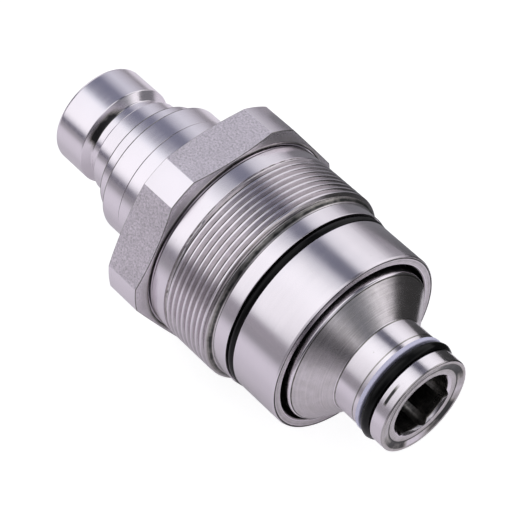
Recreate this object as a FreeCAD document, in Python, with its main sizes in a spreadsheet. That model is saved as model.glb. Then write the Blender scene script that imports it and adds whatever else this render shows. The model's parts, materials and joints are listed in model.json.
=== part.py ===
"""Flat-face hydraulic quick coupler, male half, as a screw-in cartridge.

The coupler's axis is X and +X points to the coupling nose. The origin lies on the axis in the plane where
the hexagon seats on its block. One hexagon flat faces down. Lengths are in millimetres.
"""
import FreeCAD, Part
import math
import os
import types

import Sketcher

SIZES = {
    # Nose and valve, from which the other diameters are built up outwards
    "nose_diameter": 24.5,
    "nose_length": 9.05,
    "nose_round": 1.2,
    "lock_groove_depth": 1.85,
    "lock_groove_length": 3.3,
    "lock_shoulder_length": 1.15,
    "lock_wall": 1.0,
    "valve_ledge": 1.8,
    "nose_bore_length": 6.0,
    "guide_ledge": 0.8,
    "guide_seat_offset": 1.7,
    # Nipple, outside, from its stem to the throat
    "joint_wall": 0.96,
    "joint_ring_section": 1.8,
    "joint_backup_width": 1.2,
    "joint_setback": 1.6,
    "stem_engagement": 8.1,
    "shoulder_height": 3.6,
    "shoulder_offset": 1.0,
    "nipple_exposed": 9.6,
    "neck_relief": 0.15,
    "neck_length": 5.5,
    "neck_drop": 2.2,
    "step_length": 3.7,
    "throat_relief": 0.25,
    "throat_length": 4.9,
    "rim_round": 0.35,
    # Housing, inside
    "spring_gap": 1.1,
    "chamber_gap": 1.3,
    "seat_ledge": 1.8,
    "rear_bore_depth": 9.4,
    "guide_length": 7.5,
    "rod_gland_offset": 0.8,
    "rod_ring_section": 2.6,
    "rod_backup_width": 1.5,
    "wiper_offset": 1.3,
    "wiper_width": 2.2,
    "wiper_height": 1.8,
    "seat_thickness": 2.5,
    "snap_thickness": 1.5,
    "snap_groove_depth": 0.9,
    "snap_band": 2.6,
    # Housing, outside, from the spigot to the hexagon
    "spigot_wall": 1.3,
    "spigot_length": 12.4,
    "housing_ring_section": 1.9,
    "housing_gland_depth": 1.45,
    "pilot_rise": 0.45,
    "pilot_length": 3.65,
    "thread_lead_in": 1.4,
    "thread_rise": 1.55,
    "thread_length": 13.0,
    "land_relief": 0.1,
    "land_length": 4.05,
    "land_bevel": 0.45,
    "land_drop": 0.13,
    "relief_depth": 1.1,
    "relief_width": 0.55,
    "seat_width": 1.0,
    "seat_edge": 0.3,
    "seat_undercut": 0.15,
    "seat_clearance": 0.15,
    "hex_length": 10.3,
    "hex_corner_height": 2.1,
    "hex_front_chamfer": 0.75,
    "hex_rear_chamfer": 0.65,
    # Rear adapter
    "adapter_gap": 1.0,
    "adapter_land": 6.4,
    "adapter_seat": 1.2,
    "cone_length": 5.75,
    "nozzle_relief": 0.35,
    "nozzle_length": 5.2,
    "nozzle_lead_in": 1.0,
    "nozzle_lead_depth": 0.15,
    "nozzle_wall": 2.35,
    "nozzle_gland_depth": 2.5,
    "nozzle_ring_section": 2.45,
    "nozzle_ring_play": 0.55,
    "nozzle_backup_width": 1.05,
    "nozzle_backup_relief": 0.1,
    "flange_length": 3.5,
    "flange_round": 1.2,
    "flange_rim": 1.3,
    "dish_depth": 0.5,
    "dish_slope": 1.55,
    "socket_bevel": 0.55,
    "socket_flats": 13.4,
    "socket_depth": 9.0,
    "drill_oversize": 0.45,
    "drill_depth": 11.0,
    # Valve
    "poppet_flange_gap": 0.8,
    "poppet_flange_thickness": 1.6,
    "poppet_boss_gap": 0.25,
    "poppet_boss_length": 3.0,
    "poppet_taper_length": 3.6,
    "poppet_stem_diameter": 5.0,
    "poppet_tail": 6.0,
    "poppet_ring_section": 1.8,
    "poppet_ring_setback": 1.8,
    "poppet_backup_width": 1.2,
    "guide_thickness": 4.0,
    "guide_hub_wall": 1.65,
    "guide_hub_length": 3.0,
    "guide_hole_diameter": 4.6,
    "guide_snap_thickness": 1.2,
    "guide_snap_depth": 0.8,
    "guide_snap_band": 1.8,
    # Springs
    "return_wire": 2.6,
    "poppet_wire": 1.5,
    "poppet_spring_gap": 0.55,
    # Clearances and small edges
    "edge_break": 0.3,
    "running_clearance": 0.05,
    "seal_clearance": 0.02,
    "stop_gap": 0.3,
}
RETURN_TURNS = 4.5
POPPET_TURNS = 7
GUIDE_HOLES = 6
SOCKET_TURN = 22.0
SNAP_OPENING = 28.0
HEX_CORNER = 1.0 / math.sqrt(3.0)
HEX_SIDES = 6


class Measure:
    """A length that carries its value and the sheet formula that gives it."""

    def __init__(self, formula, value):
        self.formula = formula
        self.value = value

    def __add__(self, other):
        other = measure(other)
        return Measure(f"({self.formula} + {other.formula})", self.value + other.value)

    def __sub__(self, other):
        other = measure(other)
        return Measure(f"({self.formula} - {other.formula})", self.value - other.value)

    def __mul__(self, factor):
        return Measure(f"({self.formula} * {factor!r})", self.value * factor)

    def __truediv__(self, divisor):
        return Measure(f"({self.formula} / {divisor!r})", self.value / divisor)

    def __neg__(self):
        return Measure(f"(0 - {self.formula})", -self.value)


def measure(number):
    """A plain number as a Measure; a Measure stays as it is."""
    if isinstance(number, Measure):
        return number
    return Measure(repr(float(number)), float(number))


def write_sheet(doc):
    """Put every driving dimension in the sheet and give each cell its alias."""
    sheet = doc.addObject("Spreadsheet::Sheet", "Sizes")
    for row, (name, value) in enumerate(SIZES.items(), start=1):
        sheet.set(f"A{row}", name)
        sheet.set(f"B{row}", str(value))
        sheet.setAlias(f"B{row}", name)
    doc.recompute()
    return types.SimpleNamespace(**{name: Measure(f"Sizes.{name}", value) for name, value in SIZES.items()})


doc = FreeCAD.newDocument("coupler")
size = write_sheet(doc)

# Places along the axis: the housing
land_front = -size.relief_width
thread_front = land_front - size.land_length
thread_rear = thread_front - size.thread_length
pilot_front = thread_rear - size.thread_lead_in
pilot_rear = pilot_front - size.pilot_length
gland_rear = pilot_rear - size.housing_ring_section - size.seal_clearance * 2
spigot_end = gland_rear - size.spigot_length
seat_front = spigot_end + size.rear_bore_depth
seat_rear = seat_front - size.seat_thickness
snap_rear = seat_rear - size.snap_thickness - size.seal_clearance
wiper_front = size.hex_length - size.wiper_offset
wiper_rear = wiper_front - size.wiper_width
rod_rear = size.rod_gland_offset
rod_middle = rod_rear + size.rod_ring_section + size.seal_clearance * 2
rod_front = rod_middle + size.rod_backup_width + size.seal_clearance

# Places along the axis: the nipple and its valve
shoulder = -size.guide_length - size.shoulder_offset
neck_rear = size.hex_length + size.nipple_exposed
neck_front = neck_rear + size.neck_length
step_front = neck_front + size.step_length
throat_front = step_front + size.throat_length
lock_front = throat_front + size.lock_groove_length
nose_rear = lock_front + size.lock_shoulder_length
nose_front = nose_rear + size.nose_length
nose_bore_rear = nose_front - size.nose_bore_length
guide_front = size.hex_length + size.guide_seat_offset
guide_rear = guide_front - size.guide_thickness
guide_snap_rear = guide_rear - size.guide_snap_thickness - size.seal_clearance
valve_flange_front = nose_bore_rear - size.stop_gap
valve_flange_rear = valve_flange_front - size.poppet_flange_thickness
poppet_ring_front = nose_front - size.poppet_ring_setback
poppet_ring_middle = poppet_ring_front - size.poppet_ring_section - size.seal_clearance * 2
poppet_ring_rear = poppet_ring_middle - size.poppet_backup_width - size.seal_clearance

# Places along the axis: the rear adapter, which stops on the housing's snap ring
adapter_front = snap_rear - size.stop_gap
stem_end = adapter_front - size.stem_engagement
joint_rear = stem_end + size.joint_setback
joint_middle = joint_rear + size.joint_ring_section + size.seal_clearance * 2
joint_front = joint_middle + size.joint_backup_width + size.seal_clearance
cone_front = adapter_front - size.adapter_land
cone_rear = cone_front - size.cone_length
nozzle_rear = cone_rear - size.nozzle_length
nozzle_gland_front = nozzle_rear - size.nozzle_lead_in
nozzle_gland_middle = nozzle_gland_front - size.nozzle_backup_width - size.seal_clearance
nozzle_ring_rear = nozzle_gland_middle - size.nozzle_ring_section - size.nozzle_ring_play / 2
flange_front = nozzle_ring_rear - size.nozzle_ring_play / 2 - size.seal_clearance * 2
nozzle_end = flange_front - size.flange_length
dish_floor = nozzle_end + size.dish_depth
drill_end = nozzle_end + size.drill_depth

# Radii: the nipple, from the nose's outside in to its bores and out again to the stem and the shoulder
nose_radius = size.nose_diameter / 2
lock_radius = nose_radius - size.lock_groove_depth
valve_chamber_radius = lock_radius - size.lock_wall
nose_bore_radius = valve_chamber_radius - size.valve_ledge
flow_radius = valve_chamber_radius + size.guide_ledge
guide_snap_radius = flow_radius + size.guide_snap_depth
joint_gland_radius = flow_radius + size.joint_wall
stem_radius = joint_gland_radius + size.joint_ring_section + size.seal_clearance * 2
nipple_radius = stem_radius + size.shoulder_height
neck_radius = nipple_radius - size.neck_relief
step_radius = neck_radius - size.neck_drop
throat_radius = nose_radius - size.throat_relief

# Radii: the return spring around the stem, then the housing around the spring
return_radius = stem_radius + size.spring_gap + size.return_wire / 2
chamber_radius = return_radius + size.return_wire / 2 + size.chamber_gap
rear_bore_radius = chamber_radius + size.seat_ledge
snap_groove_radius = rear_bore_radius + size.snap_groove_depth
spigot_radius = snap_groove_radius + size.spigot_wall
housing_gland_radius = spigot_radius - size.housing_gland_depth
pilot_radius = spigot_radius + size.pilot_rise
thread_radius = pilot_radius + size.thread_rise
land_radius = thread_radius - size.land_relief
relief_radius = thread_radius - size.relief_depth
hex_flat_radius = thread_radius + size.seat_width
hex_face_radius = hex_flat_radius - size.seat_edge
undercut_radius = thread_radius + size.seat_clearance
hex_corner_radius = hex_flat_radius + size.hex_corner_height
guide_radius = nipple_radius + size.running_clearance
rod_radius = guide_radius + size.rod_ring_section
wiper_radius = guide_radius + size.wiper_height

# Radii: the rear adapter, from its socket outwards
drill_radius = size.socket_flats / 2 + size.drill_oversize
nozzle_gland_radius = drill_radius + size.nozzle_wall
flange_radius = nozzle_gland_radius + size.nozzle_gland_depth
nozzle_radius = flange_radius - size.nozzle_relief
dish_radius = flange_radius - size.flange_rim
dish_floor_radius = dish_radius - size.dish_slope
adapter_radius = rear_bore_radius - size.adapter_gap
adapter_flow_radius = flow_radius - size.adapter_seat
flow_start = drill_end + adapter_flow_radius - drill_radius

# Radii: the valve
poppet_radius = nose_bore_radius - size.running_clearance
poppet_gland_radius = poppet_radius - size.poppet_ring_section - size.seal_clearance * 2
poppet_flange_radius = valve_chamber_radius - size.poppet_flange_gap
poppet_stem_radius = size.poppet_stem_diameter / 2
poppet_spring_radius = nose_bore_radius - size.poppet_spring_gap - size.poppet_wire / 2
poppet_boss_radius = poppet_spring_radius - size.poppet_wire / 2 - size.poppet_boss_gap
guide_bore_radius = poppet_stem_radius + size.running_clearance
guide_hub_radius = guide_bore_radius + size.guide_hub_wall
guide_rim_radius = flow_radius - size.running_clearance
guide_hole_circle = (guide_hub_radius + valve_chamber_radius) / 2

nodes = []


def start_body(label):
    """An empty body whose label is the node's name."""
    body = doc.addObject("PartDesign::Body", label)
    body.Label = label
    nodes.append(body)
    return body


def start_sketch(body, name, role, offset=None):
    """A sketch on one of the body's own planes, moved along the plane's normal by offset."""
    plane = next(item for item in body.Origin.OriginFeatures if item.Role == role)
    sketch = body.newObject("Sketcher::SketchObject", name)
    sketch.AttachmentSupport = (plane, "")
    sketch.MapMode = "FlatFace"
    if offset is not None:
        sketch.setExpression("AttachmentOffset.Base.z", offset.formula)
    return sketch


def hold(sketch, kind, geometry, length):
    """Bind a distance from the sketch's origin, or a radius, to a formula."""
    length = measure(length)
    if kind == "Radius":
        constraint = Sketcher.Constraint(kind, geometry[0], length.value)
    else:
        constraint = Sketcher.Constraint(kind, -1, 1, geometry[0], geometry[1], length.value)
    index = sketch.addConstraint(constraint)
    sketch.setExpression(f"Constraints[{index}]", length.formula)


def draw_outline(sketch, points):
    """A closed outline of straight edges through points, each held by two formulas."""
    first = sketch.GeometryCount
    corners = [FreeCAD.Vector(measure(x).value, measure(y).value, 0) for x, y in points]
    following = corners[1:] + corners[:1]
    for start, end in zip(corners, following):
        sketch.addGeometry(Part.LineSegment(start, end))
    for index, (x, y) in enumerate(points):
        after = first + (index + 1) % len(points)
        sketch.addConstraint(Sketcher.Constraint("Coincident", first + index, 2, after, 1))
        hold(sketch, "DistanceX", (first + index, 1), x)
        hold(sketch, "DistanceY", (first + index, 1), y)


def draw_circle(sketch, x, y, radius):
    """A circle held by its centre and its radius."""
    centre = FreeCAD.Vector(measure(x).value, measure(y).value, 0)
    circle = sketch.addGeometry(Part.Circle(centre, FreeCAD.Vector(0, 0, 1), measure(radius).value))
    hold(sketch, "DistanceX", (circle, 3), x)
    hold(sketch, "DistanceY", (circle, 3), y)
    hold(sketch, "Radius", (circle,), radius)


def draw_hexagon(sketch, flats, turn=0.0):
    """A hexagon about the axis with one flat up and one down, then turned by some degrees."""
    corners = []
    for side in range(HEX_SIDES):
        angle = math.radians(360 / HEX_SIDES * side + turn)
        reach = flats * HEX_CORNER
        corners.append((reach * round(math.cos(angle), 9), reach * round(math.sin(angle), 9)))
    draw_outline(sketch, corners)


def revolve(body, sketch, angle=360.0):
    """Turn a profile about the coupler's axis."""
    turned = body.newObject("PartDesign::Revolution", "Turned")
    turned.Profile = sketch
    turned.ReferenceAxis = (sketch, ["H_Axis"])
    turned.Angle = angle
    doc.recompute()
    return turned


def turned_body(label, points, angle=360.0):
    """A turned piece from its outline of (along the axis, radius) points."""
    body = start_body(label)
    sketch = start_sketch(body, "Profile", "XZ_Plane")
    draw_outline(sketch, points)
    revolve(body, sketch, angle)
    return body


def ring_body(label, rear, front, inner, outer, angle=360.0):
    """A plain ring of rectangular section."""
    return turned_body(label, [(rear, inner), (rear, outer), (front, outer), (front, inner)], angle)


def o_ring_body(label, gland_edge, gland_radius, section):
    """An O-ring seated on the floor of a gland whose rear wall is at gland_edge."""
    body = start_body(label)
    sketch = start_sketch(body, "Section", "XZ_Plane")
    radius = section / 2
    offset = size.seal_clearance + radius
    draw_circle(sketch, gland_edge + offset, gland_radius + offset, radius)
    revolve(body, sketch)
    return body


def cut_forward(body, sketch, depth):
    """Cut a sketch into the body along +X and make sure that it removed material."""
    before = body.Shape.Volume
    pocket = body.newObject("PartDesign::Pocket", "Cut")
    pocket.Profile = sketch
    pocket.Reversed = True
    pocket.setExpression("Length", depth.formula)
    doc.recompute()
    if body.Shape.Volume >= before:
        raise RuntimeError(f"{body.Label}: the cut removed nothing")
    return pocket


def round_rims(body, rims, radius):
    """Fillet the circular edges at the given (place, radius) pairs."""
    base = body.Tip
    names = []
    for index, edge in enumerate(base.Shape.Edges, start=1):
        if not isinstance(edge.Curve, Part.Circle):
            continue
        for place, reach in rims:
            same_place = abs(edge.Curve.Center.x - place.value) < 1e-5
            if same_place and abs(edge.Curve.Radius - reach.value) < 1e-5:
                names.append(f"Edge{index}")
    fillet = body.newObject("PartDesign::Fillet", "Rounded")
    fillet.Base = (base, names)
    fillet.setExpression("Radius", radius.formula)
    doc.recompute()


def spring_body(label, rear, front, mean_radius, wire, turns):
    """A round wire wound about the axis between two faces."""
    body = start_body(label)
    sketch = start_sketch(body, "Wire", "XZ_Plane")
    start = rear + size.seal_clearance + wire / 2
    height = front - rear - wire - size.seal_clearance * 2
    draw_circle(sketch, start, mean_radius, wire / 2)
    coil = body.newObject("PartDesign::AdditiveHelix", "Coil")
    coil.Profile = sketch
    coil.ReferenceAxis = (sketch, ["H_Axis"])
    coil.Mode = "height-turns-angle"
    coil.setExpression("Height", height.formula)
    coil.Turns = turns
    doc.recompute()
    if coil.Shape.BoundBox.XMax > front.value:
        coil.Reversed = True
        doc.recompute()
    return body


def build_hex_housing():
    """Threaded housing with its hexagon, seal glands, guide bore and spring chamber."""
    edge = size.edge_break
    hex_rear_edge = size.hex_length - size.hex_rear_chamfer
    outside = [
        (spigot_end, rear_bore_radius + edge),
        (spigot_end, spigot_radius - edge),
        (spigot_end + edge, spigot_radius),
        (gland_rear, spigot_radius),
        (gland_rear, housing_gland_radius),
        (pilot_rear, housing_gland_radius),
        (pilot_rear, pilot_radius),
        (pilot_front, pilot_radius),
        (thread_rear, thread_radius),
        (thread_front, thread_radius),
        (thread_front, land_radius),
        (land_front - size.land_bevel, land_radius),
        (land_front, land_radius - size.land_drop),
        (land_front, relief_radius),
        (size.seat_undercut, relief_radius),
        (size.seat_undercut, undercut_radius),
        (0, undercut_radius),
        (0, hex_face_radius),
        (size.hex_front_chamfer, hex_corner_radius),
        (hex_rear_edge, hex_corner_radius),
        (size.hex_length, hex_face_radius),
    ]
    inside = [
        (size.hex_length, guide_radius + edge),
        (size.hex_length - edge, guide_radius),
        (wiper_front, guide_radius),
        (wiper_front, wiper_radius),
        (wiper_rear, wiper_radius),
        (wiper_rear, guide_radius),
        (rod_front, guide_radius),
        (rod_front, rod_radius),
        (rod_rear, rod_radius),
        (rod_rear, guide_radius),
        (-size.guide_length, guide_radius),
        (-size.guide_length, chamber_radius),
        (seat_front, chamber_radius),
        (seat_front, rear_bore_radius),
        (seat_rear, rear_bore_radius),
        (seat_rear, snap_groove_radius),
        (snap_rear, snap_groove_radius),
        (snap_rear, rear_bore_radius),
        (spigot_end + edge, rear_bore_radius),
    ]
    body = turned_body("hex_housing", outside + inside)
    flats = start_sketch(body, "Flats", "YZ_Plane")
    draw_circle(flats, 0, 0, hex_corner_radius * 2)
    draw_hexagon(flats, hex_flat_radius * 2)
    cut_forward(body, flats, size.hex_length)


def build_housing_seals():
    """The seals and rings that the housing carries."""
    o_ring_body("housing_o_ring", gland_rear, housing_gland_radius, size.housing_ring_section)
    running = nipple_radius + size.seal_clearance
    rod_outer = rod_radius - size.seal_clearance
    wiper_outer = wiper_radius - size.seal_clearance
    o_ring_body("rod_seal", rod_rear, running - size.seal_clearance, size.rod_ring_section)
    ring_body("rod_backup_ring", rod_middle, rod_front - size.seal_clearance, running, rod_outer)
    lip = (wiper_rear + wiper_front) / 2
    turned_body("wiper_ring", [
        (wiper_rear + size.seal_clearance, running + size.edge_break),
        (wiper_rear + size.seal_clearance, wiper_outer),
        (wiper_front - size.seal_clearance, wiper_outer),
        (wiper_front - size.seal_clearance, running),
        (lip, running + size.edge_break),
    ])
    ring_body("spring_seat_ring", seat_rear, seat_front, stem_radius + size.stop_gap,
              rear_bore_radius - size.running_clearance)
    ring_body("housing_snap_ring", snap_rear + size.seal_clearance, seat_rear,
              snap_groove_radius - size.snap_band, snap_groove_radius - size.running_clearance,
              360.0 - SNAP_OPENING)


def build_nipple():
    """Sliding nipple with the locking groove, the flat nose and the valve chamber."""
    edge = size.edge_break
    outside = [
        (stem_end, flow_radius),
        (stem_end, stem_radius - edge),
        (stem_end + edge, stem_radius),
        (joint_rear, stem_radius),
        (joint_rear, joint_gland_radius),
        (joint_front, joint_gland_radius),
        (joint_front, stem_radius),
        (shoulder, stem_radius),
        (shoulder, nipple_radius),
        (neck_rear, nipple_radius),
        (neck_rear, neck_radius),
        (neck_front, neck_radius),
        (neck_front, step_radius),
        (step_front, step_radius),
        (step_front, throat_radius),
        (throat_front, throat_radius),
        (throat_front, lock_radius),
        (lock_front, lock_radius),
        (nose_rear, nose_radius),
        (nose_front, nose_radius),
    ]
    inside = [
        (nose_front, nose_bore_radius),
        (nose_bore_rear, nose_bore_radius),
        (nose_bore_rear, valve_chamber_radius),
        (guide_front, valve_chamber_radius),
        (guide_front, flow_radius),
        (guide_rear, flow_radius),
        (guide_rear, guide_snap_radius),
        (guide_snap_rear, guide_snap_radius),
        (guide_snap_rear, flow_radius),
    ]
    body = turned_body("nipple_body", outside + inside)
    rims = [(neck_front, neck_radius), (step_front, step_radius), (throat_front, throat_radius),
            (nose_rear, nose_radius)]
    round_rims(body, rims, size.rim_round)
    round_rims(body, [(nose_front, nose_radius)], size.nose_round)


def build_rear_adapter():
    """Adapter on the nipple's stem: a cone to the sealed nozzle, whose dished end has a hexagon socket."""
    edge = size.edge_break
    socket_radius = stem_radius + size.seal_clearance
    outside = [
        (adapter_front, socket_radius + edge),
        (adapter_front, adapter_radius - edge),
        (adapter_front - edge, adapter_radius),
        (cone_front + edge, adapter_radius),
        (cone_front, adapter_radius - edge),
        (cone_rear, nozzle_radius),
        (nozzle_rear, nozzle_radius),
        (nozzle_gland_front, nozzle_radius - size.nozzle_lead_depth),
        (nozzle_gland_front, nozzle_gland_radius),
        (flange_front, nozzle_gland_radius),
        (flange_front, flange_radius),
        (nozzle_end, flange_radius),
    ]
    inside = [
        (nozzle_end, dish_radius),
        (dish_floor, dish_floor_radius),
        (dish_floor, drill_radius + size.socket_bevel),
        (dish_floor + size.socket_bevel, drill_radius),
        (drill_end, drill_radius),
        (flow_start, adapter_flow_radius),
        (stem_end, adapter_flow_radius),
        (stem_end, socket_radius),
        (adapter_front - edge, socket_radius),
    ]
    body = turned_body("rear_adapter", outside + inside)
    round_rims(body, [(nozzle_end, flange_radius)], size.flange_round)
    socket = start_sketch(body, "Socket", "YZ_Plane", nozzle_end)
    draw_hexagon(socket, size.socket_flats, SOCKET_TURN)
    cut_forward(body, socket, size.socket_depth)


def build_cartridge_seals():
    """The seals on the stem and in the nozzle's gland."""
    o_ring_body("joint_o_ring", joint_rear, joint_gland_radius, size.joint_ring_section)
    ring_body("joint_backup_ring", joint_middle, joint_front - size.seal_clearance,
              joint_gland_radius + size.seal_clearance, stem_radius - size.seal_clearance)
    o_ring_body("nozzle_o_ring", nozzle_ring_rear, nozzle_gland_radius, size.nozzle_ring_section)
    ring_body("nozzle_backup_ring", nozzle_gland_middle, nozzle_gland_front - size.seal_clearance,
              nozzle_gland_radius + size.seal_clearance, flange_radius - size.nozzle_backup_relief)


def build_valve_guide():
    """Drilled disc that guides the poppet's stem, and the ring that holds it."""
    body = turned_body("valve_guide", [
        (guide_rear - size.guide_hub_length, guide_bore_radius),
        (guide_rear - size.guide_hub_length, guide_hub_radius),
        (guide_rear, guide_hub_radius),
        (guide_rear, guide_rim_radius),
        (guide_front, guide_rim_radius),
        (guide_front, guide_bore_radius),
    ])
    hole = start_sketch(body, "FlowHole", "YZ_Plane", guide_rear)
    draw_circle(hole, 0, guide_hole_circle, size.guide_hole_diameter / 2)
    drilled = cut_forward(body, hole, size.guide_thickness)
    pattern = body.newObject("PartDesign::PolarPattern", "FlowHoles")
    pattern.Originals = [drilled]
    axis = next(item for item in body.Origin.OriginFeatures if item.Role == "X_Axis")
    pattern.Axis = (axis, [""])
    pattern.Angle = 360.0
    pattern.Occurrences = GUIDE_HOLES
    body.Tip = pattern
    doc.recompute()
    ring_body("guide_snap_ring", guide_snap_rear + size.seal_clearance, guide_rear,
              guide_snap_radius - size.guide_snap_band, guide_snap_radius - size.running_clearance,
              360.0 - SNAP_OPENING)


def build_poppet():
    """Flat valve with its stem and the seal in its head."""
    boss_rear = valve_flange_rear - size.poppet_boss_length
    taper_rear = boss_rear - size.poppet_taper_length
    tail = guide_rear - size.poppet_tail
    turned_body("poppet", [
        (tail, 0),
        (tail, poppet_stem_radius - size.edge_break),
        (tail + size.edge_break, poppet_stem_radius),
        (taper_rear, poppet_stem_radius),
        (boss_rear, poppet_boss_radius),
        (valve_flange_rear, poppet_boss_radius),
        (valve_flange_rear, poppet_flange_radius),
        (valve_flange_front, poppet_flange_radius),
        (valve_flange_front, poppet_radius),
        (poppet_ring_rear, poppet_radius),
        (poppet_ring_rear, poppet_gland_radius),
        (poppet_ring_front, poppet_gland_radius),
        (poppet_ring_front, poppet_radius),
        (nose_front, poppet_radius),
        (nose_front, 0),
    ])
    o_ring_body("poppet_seal", poppet_ring_middle, poppet_gland_radius, size.poppet_ring_section)
    ring_body("poppet_backup_ring", poppet_ring_rear + size.seal_clearance, poppet_ring_middle,
              poppet_gland_radius + size.seal_clearance, poppet_radius - size.seal_clearance)


def build_springs():
    """The spring behind the nipple's shoulder and the spring behind the valve."""
    spring_body("return_spring", seat_front, shoulder, return_radius, size.return_wire, RETURN_TURNS)
    spring_body("poppet_spring", guide_front, valve_flange_rear, poppet_spring_radius, size.poppet_wire,
                POPPET_TURNS)


def check_document():
    """Stop on a failed feature or an unsound shape."""
    for item in doc.Objects:
        if "Invalid" in item.State or "Error" in item.State:
            raise RuntimeError(f"{item.Label} failed: {item.State}")
    for body in nodes:
        shape = body.Shape
        if shape.isNull() or not shape.isValid() or len(shape.Solids) != 1:
            raise RuntimeError(f"{body.Label} is not one sound solid")


def write_steps():
    """Write one file for each piece."""
    os.makedirs("parts", exist_ok=True)
    for body in nodes:
        body.Shape.exportStep(f"parts/{body.Label}.step")


build_hex_housing()
build_housing_seals()
build_nipple()
build_rear_adapter()
build_cartridge_seals()
build_valve_guide()
build_poppet()
build_springs()
doc.recompute()
check_document()
write_steps()
print("pieces", len(nodes), "from", round(nozzle_end.value, 3), "to", round(nose_front.value, 3))
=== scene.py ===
"""Looks of a hydraulic quick coupler: turned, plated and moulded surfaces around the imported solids."""

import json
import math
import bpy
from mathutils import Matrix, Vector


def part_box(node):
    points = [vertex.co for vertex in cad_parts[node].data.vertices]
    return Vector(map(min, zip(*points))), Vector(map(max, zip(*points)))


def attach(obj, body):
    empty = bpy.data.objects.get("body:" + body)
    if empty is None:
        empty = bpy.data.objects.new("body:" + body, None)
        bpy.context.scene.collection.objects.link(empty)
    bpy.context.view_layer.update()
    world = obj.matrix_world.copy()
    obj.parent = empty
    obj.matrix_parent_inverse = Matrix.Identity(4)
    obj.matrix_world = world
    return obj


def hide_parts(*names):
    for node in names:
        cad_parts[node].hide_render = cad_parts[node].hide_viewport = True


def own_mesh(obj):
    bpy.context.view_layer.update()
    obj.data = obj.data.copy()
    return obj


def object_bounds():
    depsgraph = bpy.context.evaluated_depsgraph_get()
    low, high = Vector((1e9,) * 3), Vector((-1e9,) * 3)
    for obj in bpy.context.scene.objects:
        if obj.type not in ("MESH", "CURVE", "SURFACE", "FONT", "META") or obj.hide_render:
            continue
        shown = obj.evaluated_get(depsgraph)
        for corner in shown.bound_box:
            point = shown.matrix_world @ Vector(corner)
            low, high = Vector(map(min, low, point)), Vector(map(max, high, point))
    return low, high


bl_info = {
    "name": "Hydraulic quick coupler",
    "version": (1, 0, 0),
    "blender": (4, 5, 0),
    "location": "3D View > Sidebar > Coupler",
    "description": "Builds the surfaces, finishes and studio of a hydraulic quick coupler",
    "category": "Object",
}

import bmesh
import bpy
import numpy as np
from bpy.props import FloatProperty, FloatVectorProperty, PointerProperty
from mathutils import Matrix, Vector
from typing import NamedTuple

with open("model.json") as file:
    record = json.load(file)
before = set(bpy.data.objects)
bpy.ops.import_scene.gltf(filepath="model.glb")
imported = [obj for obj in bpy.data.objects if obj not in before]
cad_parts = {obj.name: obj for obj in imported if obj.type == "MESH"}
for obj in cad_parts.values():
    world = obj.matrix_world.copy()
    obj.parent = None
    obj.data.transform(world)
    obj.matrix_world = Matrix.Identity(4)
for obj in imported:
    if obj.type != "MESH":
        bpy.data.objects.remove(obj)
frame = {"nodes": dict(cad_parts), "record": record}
CAD_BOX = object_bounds()

MILLIMETRE = 0.001
MICROMETRE = 0.001 * MILLIMETRE
FULL_TURN = 2 * math.pi
HEX_SIDES = 6
HEX_STEP = FULL_TURN / HEX_SIDES

# How finely surfaces are divided; a pair is for six sides, along a side and round a corner
PLAIN_COLUMNS = 240
HEXAGON_COLUMNS = 26, 9
SOCKET_COLUMNS = 24, 13
COIL_COLUMNS = 64
RIM_STEPS = 5
INNER_STEPS = 1
RING_STEPS = 28
WIRE_STEPS = 20

# Roundings and thin lines that the pieces share, and the room that shading and merging need
FINE, SMALL, EASED, SOFT = (part * MILLIMETRE for part in (0.04, 0.08, 0.10, 0.15))
CREASE_ROUND = 0.06 * MILLIMETRE
SOIL_SPREAD = 0.22 * MILLIMETRE
GUARD = 0.02 * MILLIMETRE
EDGE_GUARD = math.radians(0.15)
MERGE_DISTANCE = 0.5 * MICROMETRE

# Tooth of the thread: turns from its crest's middle, height from root to crest, and soil with painted shade:
# the root is painted dark as shade, the flanks take a dull film with some painted shade
FLANK_SOIL_AND_SHADE, ROOT_SHADE = 0.25, 0.9
TOOTH = np.array([
    (-0.14, 0.94, 0.05), (-0.12, 1.0, 0.0), (-0.10, 1.0, 0.0), (0.10, 1.0, 0.0), (0.12, 1.0, 0.0),
    (0.14, 0.94, 0.05), (0.18, 0.82, FLANK_SOIL_AND_SHADE), (0.40, 0.13, FLANK_SOIL_AND_SHADE), (0.445, 0.0, ROOT_SHADE),
    (0.555, 0.0, ROOT_SHADE), (0.60, 0.13, FLANK_SOIL_AND_SHADE), (0.82, 0.82, FLANK_SOIL_AND_SHADE),
])

# Width of the moulded line on a ring, in radians of its section
FLASH_WIDTH = 0.05

HOUSING_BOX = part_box("hex_housing")
NIPPLE_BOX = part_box("nipple_body")
ADAPTER_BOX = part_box("rear_adapter")
POPPET_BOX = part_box("poppet")


def length(name, millimetres, description):
    """A length in metres, written here in millimetres."""
    return FloatProperty(name=name, description=description, default=millimetres * MILLIMETRE, unit="LENGTH",
                         precision=5)


def colour(name, values, description):
    """A linear colour."""
    return FloatVectorProperty(name=name, description=description, default=values, subtype="COLOR", size=3,
                               min=0.0, max=1.0)


def share(name, value, description):
    """A number from 0 to 1."""
    return FloatProperty(name=name, description=description, default=value, min=0.0, max=1.0,
                         subtype="FACTOR")


def count(name, value, description):
    """A plain number."""
    return FloatProperty(name=name, description=description, default=value)


def rotation(name, degrees, description):
    """An angle in radians, written here in degrees."""
    return FloatProperty(name=name, description=description, default=math.radians(degrees), unit="ROTATION")


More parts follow.
